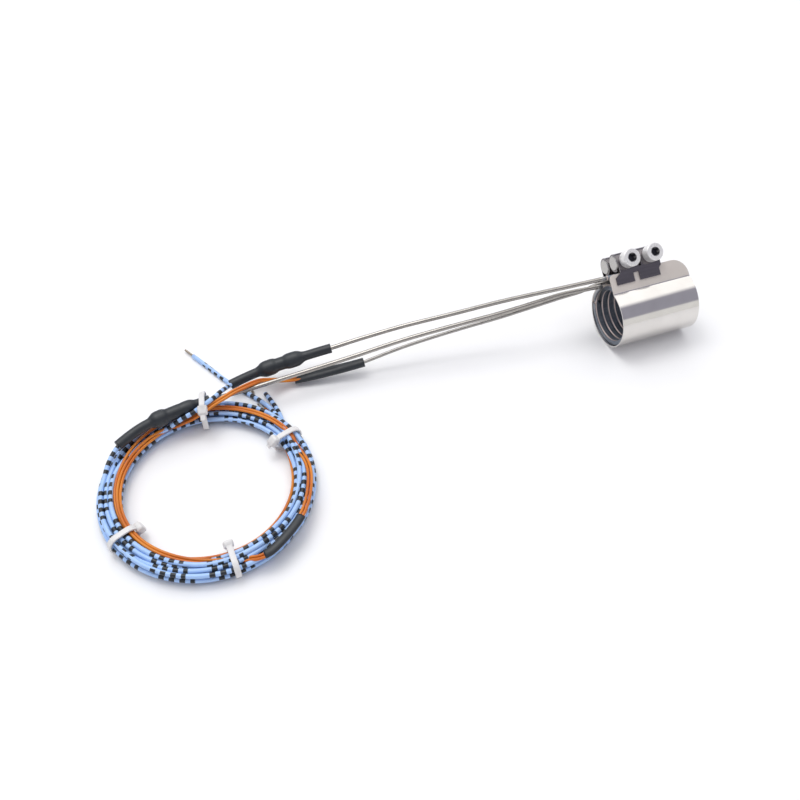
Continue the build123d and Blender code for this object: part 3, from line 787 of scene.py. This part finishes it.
node_finishes = {
    "heater_coil": heated_tube,
    "reflector_sleeve": rolled_sheet,
    "front_lug": formed_strap,
    "rear_lug": formed_strap,
    "front_bar": plated_steel,
    "rear_bar": plated_steel,
    "clamp_screw_near": plated_screw,
    "clamp_screw_far": plated_screw,
    "thermocouple_probe": drawn_sheath,
    "splice_a": nickel_strands,
    "splice_b": nickel_strands,
    "core_a": nickel_strands,
    "core_b": nickel_strands,
}
for name, material in node_finishes.items():
    mesh = nodes[name].data
    mesh.materials.clear()
    mesh.materials.append(material)


def dress(piece, material, body="heater"):
    """Give a new piece its finish and the body that it rides on."""
    piece.data.materials.append(material)
    scene.collection.objects.link(piece)
    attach(piece, body)
    return piece


def frames_along(line):
    """Two directions across the line at each of its points, turning as little as they can."""
    points = np.array([list(point) for point in line])
    along = np.gradient(points, axis=0)
    along /= np.linalg.norm(along, axis=1)[:, None]
    first = np.cross(along[0], (0.0, 0.0, 1.0))
    side = first / np.linalg.norm(first)
    sides = []
    for direction in along:
        side = side - direction * side.dot(direction)
        side /= np.linalg.norm(side)
        sides.append(side)
    sides = np.array(sides)
    return points, sides, np.cross(along, sides)


def round_skin(name, line, half_width, half_height, sides=14):
    """A closed tube along a line; its half sizes are numbers or one number a point."""
    points, side, up = frames_along(line)
    count = len(points)
    wide = np.broadcast_to(np.asarray(half_width, float), (count,))
    high = np.broadcast_to(np.asarray(half_height, float), (count,))
    steps = np.linalg.norm(np.diff(points, axis=0), axis=1)
    travelled = np.concatenate([[0.0], np.cumsum(steps)]) / (mark_period * MM)
    mesh = bmesh.new()
    uv = mesh.loops.layers.uv.new("along_lead")
    rings = []
    for place in range(count):
        ring = []
        for number in range(sides):
            turn = 2 * math.pi * number / sides
            offset = side[place] * wide[place] * math.cos(turn) + up[place] * high[place] * math.sin(turn)
            ring.append(mesh.verts.new(points[place] + offset))
        rings.append(ring)
    for place in range(count - 1):
        for number in range(sides):
            after = (number + 1) % sides
            corners = (
                rings[place][number],
                rings[place][after],
                rings[place + 1][after],
                rings[place + 1][number],
            )
            face = mesh.faces.new(corners)
            face.smooth = True
            flat = (
                (travelled[place], number / sides),
                (travelled[place], (number + 1) / sides),
                (travelled[place + 1], (number + 1) / sides),
                (travelled[place + 1], number / sides),
            )
            for loop, place_on_skin in zip(face.loops, flat):
                loop[uv].uv = place_on_skin
    mesh.faces.new(rings[0][::-1])
    mesh.faces.new(rings[-1])
    bmesh.ops.recalc_face_normals(mesh, faces=mesh.faces)
    data = bpy.data.meshes.new(name)
    mesh.to_mesh(data)
    mesh.free()
    return bpy.data.objects.new(name, data)


# The leads and wires themselves
lead_a_line = smooth_line("lead_a_line", lead_a_places)
lead_b_line = smooth_line("lead_b_line", lead_b_places)
lead_a_skin = round_skin("power_lead_a", lead_a_line, lead_radius * MM, lead_radius * MM)
lead_b_skin = round_skin("power_lead_b", lead_b_line, lead_radius * MM, lead_radius * MM)
lead_a = dress(lead_a_skin, blue_lead)
lead_b = dress(lead_b_skin, blue_lead)
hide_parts("lead_a_run", "lead_a_end", "lead_ring")
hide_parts("lead_b_run", "lead_b_end")
sensor_lines = []
sensor_wires = []
for number, places in enumerate(sensor_places, 1):
    line = smooth_line(f"sensor_line_{number}", places)
    wire = round_skin(f"sensor_wire_{number}", line, sensor_radius * MM, sensor_radius * MM, 12)
    dress(wire, amber_wire)
    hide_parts(f"sensor_lead_{number}_run", f"sensor_lead_{number}_bow")
    sensor_lines.append(line)
    sensor_wires.append(wire)

# Bare strands at the ends of the two sensor wires, from just inside the insulation
sensor_core_reach = (-0.5, 2.0, 5.0)
sensor_core_radius = 0.3
sensor_cores = []
for number, line in enumerate(sensor_lines, 1):
    heading = (line[-1] - line[-4]).normalized()
    strand = [line[-1] + heading * reach * MM for reach in sensor_core_reach]
    core = round_skin(f"sensor_core_{number}", strand, sensor_core_radius * MM, sensor_core_radius * MM, 10)
    sensor_cores.append(dress(core, nickel_strands))

# Shrink sleeves, with the swelling of the splice inside
sleeve_radius = 2.3


def swelling(line, lumps, plain):
    """Radius along a sleeve: plain at its ends, swollen over the splice and its two crimps."""
    points = np.array([list(point) for point in line]) / MM
    steps = np.linalg.norm(np.diff(points, axis=0), axis=1)
    travelled = np.concatenate([[0.0], np.cumsum(steps)])
    radius = np.full(len(points), plain)
    for place, size, reach in lumps:
        bell = np.exp(-((travelled - place) / reach) ** 4)
        radius = np.maximum(radius, plain + (size - plain) * bell)
    return radius * MM


def fine_line(line, pieces):
    """The same smooth line with evenly spaced points."""
    points = np.array([list(point) for point in line])
    steps = np.linalg.norm(np.diff(points, axis=0), axis=1)
    travelled = np.concatenate([[0.0], np.cumsum(steps)])
    wanted = np.linspace(0.0, travelled[-1], pieces)
    return [Vector([np.interp(w, travelled, points[:, axis]) for axis in range(3)]) for w in wanted]


# Along each sleeve: where it swells, to what radius, and how far each way
for name, route, lumps in (
    ("a", shrink_a_route, ((19.0, 3.8, 4.6), (24.5, 3.2, 7.0), (30.5, 3.9, 4.4))),
    ("b", shrink_b_route, ((10.6, 3.3, 3.4), (17.0, 3.15, 7.0), (23.4, 3.9, 3.8))),
):
    line = fine_line(smooth_line(f"shrink_{name}_line", route), 90)
    radius = swelling(line, lumps, sleeve_radius)
    sleeve = round_skin(f"splice_sleeve_{name}", line, radius, radius * 0.96, 28)
    dress(sleeve, shrink_tube)
    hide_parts(f"shrink_{name}")

# The probe's sleeve, round at the probe and flattened over the two wires
line = fine_line(smooth_line("shrink_c_line", shrink_c_route), 60)
share = np.linspace(0.0, 1.0, 60)
probe_sleeve = round_skin("probe_sleeve", line, (2.45 + 0.75 * share) * MM, (1.9 - 0.4 * share) * MM, 28)
dress(probe_sleeve, shrink_tube)
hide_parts("shrink_c")

# Marker sleeve over both wires, on the last stretch of their bow
line = fine_line(smooth_line("marker_line", bow_route), 90)
starts_at = Vector(bow_route[3]) * MM
ends_at = Vector(bow_route[5]) * MM
first = min(range(90), key=lambda place: (line[place] - starts_at).length)
last = min(range(90), key=lambda place: (line[place] - ends_at).length) + 1
marker_wide = 1.95 * MM
marker_high = 1.15 * MM
marker = round_skin("marker_sleeve_skin", line[first:last], marker_wide, marker_high, 24)
dress(marker, shrink_tube)
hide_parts("marker_sleeve")


def tie_loop(width, height, corner, steps=7):
    """Points of a rounded rectangle about its middle, as (across, up)."""
    points = []
    for sign_x, sign_y, first in ((1, 1, 0), (-1, 1, 90), (-1, -1, 180), (1, -1, 270)):
        for step in range(steps + 1):
            turn = math.radians(first + 90 * step / steps)
            across = sign_x * (width / 2 - corner) + corner * math.cos(turn)
            up = sign_y * (height / 2 - corner) + corner * math.sin(turn)
            points.append((across, up))
    return points


# Sizes that the four ties share
tie_thickness = 1.0
tie_play = 0.15
tie_half_width = 1.25
tie_flat_half = 0.95
tie_bevel = 0.985
tie_head = (4.6, 4.4, 3.4)
tie_tail_width = 2.3
tie_tail_drop = 0.6


def nylon_tie(name, width, height, head_across, head_up, head_tilt, tail, lean=0.0):
    """A tie: a ridged band that may lean in over the ring, a head and the cut end of its tail."""
    turn = math.radians(tie_angles[name])
    outward = Vector((math.cos(turn), math.sin(turn), 0))
    along = Vector((-outward.y, outward.x, 0))
    upward = Vector((0, 0, 1))
    middle_height = table_height + tie_thickness + height / 2
    middle = Vector((ring_centre[0], ring_centre[1], middle_height)) + outward * ring_radius
    mesh = bmesh.new()

    def corner(across, up, deep):
        if across > 0.0:
            across -= lean * max(up, 0.0)
        return mesh.verts.new((middle + outward * across + upward * up + along * deep) * MM)

    outer = tie_loop(width + 2 * tie_thickness, height + 2 * tie_thickness, 4.6)
    inner = tie_loop(width + 2 * tie_play, height + 2 * tie_play, 3.8)
    rings = []
    for (across, up), (across_in, up_in) in zip(outer, inner):
        rings.append([
            corner(across, up, -tie_flat_half),
            corner(across, up, tie_flat_half),
            corner(across * tie_bevel, up * tie_bevel, tie_half_width),
            corner(across_in, up_in, tie_half_width),
            corner(across_in, up_in, -tie_half_width),
            corner(across * tie_bevel, up * tie_bevel, -tie_half_width),
        ])
    for place in range(len(rings)):
        after = rings[(place + 1) % len(rings)]
        for number in range(6):
            following = (number + 1) % 6
            corners = (rings[place][number], rings[place][following], after[following], after[number])
            mesh.faces.new(corners)
    head = bmesh.ops.create_cube(mesh, size=1.0)["verts"]
    bmesh.ops.scale(mesh, vec=[size * MM for size in tie_head], verts=head)
    tilt = Matrix.Rotation(math.radians(head_tilt), 4, along)
    axes = Matrix((outward, along, upward)).transposed().to_4x4()
    place = Matrix.Translation((middle + outward * head_across + upward * head_up) * MM) @ tilt @ axes
    bmesh.ops.transform(mesh, matrix=place, verts=head)
    edges = list({edge for vert in head for edge in vert.link_edges})
    bmesh.ops.bevel(mesh, geom=edges, offset=1.0 * MM, segments=4, profile=0.5, affect="EDGES")
    stub = bmesh.ops.create_cube(mesh, size=1.0)["verts"]
    bmesh.ops.scale(mesh, vec=(tail * MM, tie_tail_width * MM, tie_thickness * MM), verts=stub)
    bmesh.ops.translate(mesh, vec=(-tail * 0.5 * MM, 0, tie_tail_drop * MM), verts=stub)
    bmesh.ops.transform(mesh, matrix=place, verts=stub)
    edges = list({edge for vert in stub for edge in vert.link_edges})
    bmesh.ops.bevel(mesh, geom=edges, offset=0.25 * MM, segments=2, profile=0.5, affect="EDGES")
    for face in mesh.faces:
        face.smooth = True
    bmesh.ops.recalc_face_normals(mesh, faces=mesh.faces)
    data = bpy.data.meshes.new(name + "_band")
    mesh.to_mesh(data)
    mesh.free()
    tie = bpy.data.objects.new(name + "_band", data)
    dress(tie, natural_nylon)
    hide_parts(name)
    return tie


# Each tie: width and height inside, place and tilt of its head, length of its tail, lean
ties = [
    nylon_tie("cable_tie_1", 14.6, 14.3, -6.2, 5.6, -25.0, 5.0, 0.45),
    nylon_tie("cable_tie_2", 12.4, 7.5, -6.6, 3.6, -40.0, 3.6),
    nylon_tie("cable_tie_3", 12.4, 7.5, -7.4, 0.8, -70.0, 3.4),
    nylon_tie("cable_tie_4", 12.4, 7.5, -7.4, 1.6, -60.0, 3.6),
]

# Each sensor wire with its line and extra pieces, in a loop that does nothing with them
sensor_pieces = ([sensor_cores[0], marker], [sensor_cores[1]])
for wire, line, extra in zip(sensor_wires, sensor_lines, sensor_pieces):
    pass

# White table, soft light from above and behind the camera
table = bmesh.new()
bmesh.ops.create_grid(table, x_segments=1, y_segments=1, size=1.5)
table_mesh = bpy.data.meshes.new("white_table")
table.to_mesh(table_mesh)
table.free()
table_top = bpy.data.objects.new("white_table", table_mesh)
table_top.location = (-0.1, 0.0, table_height * MM)
scene.collection.objects.link(table_top)
white_board, tree, shader = new_finish("matt_white_board", 0.7)
place = add_node(tree, "ShaderNodeTexCoord")
cloud = add_node(
    tree,
    "ShaderNodeTexNoise",
    {"Vector": place.outputs["Object"], "Scale": 20.0, "Detail": 2.0},
)
tones = add_node(
    tree,
    "ShaderNodeMix",
    {0: cloud.outputs[0], 6: linear("#F4F4F4"), 7: linear("#F8F8F8")},
    data_type="RGBA",
)
tree.links.new(tones.outputs[2], shader.inputs["Base Color"])
table_mesh.materials.append(white_board)

world = bpy.data.worlds.new("studio")
scene.world = world
world.use_nodes = True
tree = world.node_tree
sky = add_node(tree, "ShaderNodeTexCoord")
# The room: a bright ceiling that leans to the back, darker walls, and light off the floor
ceiling_way = (0.0, 0.342, 0.940)
walls_from = 0.07
walls_to = 0.62
height = add_node(
    tree,
    "ShaderNodeVectorMath",
    {0: sky.outputs["Generated"], 1: ceiling_way},
    operation="DOT_PRODUCT",
)
ramp = add_node(tree, "ShaderNodeValToRGB", {0: height.outputs["Value"]})
wall = (0.26, 0.26, 0.31, 1.0)
ramp.color_ramp.elements[0].position = 0.0
ramp.color_ramp.elements[0].color = (0.6, 0.6, 0.6, 1.0)
ramp.color_ramp.elements[1].position = 0.74
ramp.color_ramp.elements[1].color = (1.0, 1.0, 1.0, 1.0)
for place in (walls_from, walls_to):
    ramp.color_ramp.elements.new(place).color = wall
tree.links.new(ramp.outputs[0], tree.nodes["Background"].inputs["Color"])
tree.nodes["Background"].inputs["Strength"].default_value = 1.45


def soft_box(name, place, aim, size, power):
    """A square soft light at a place, aimed at a point, both in metres."""
    data = bpy.data.lights.new(name, "AREA")
    data.energy = power
    data.size = size
    lamp = bpy.data.objects.new(name, data)
    lamp.location = place
    lamp.rotation_euler = (Vector(aim) - Vector(place)).to_track_quat("-Z", "Y").to_euler()
    scene.collection.objects.link(lamp)
    return lamp


soft_box("key_box", (-0.30, 0.35, 1.0), (-0.12, 0.0, 0.0), 0.5, 3.0)

scene.view_settings.view_transform = "Standard"
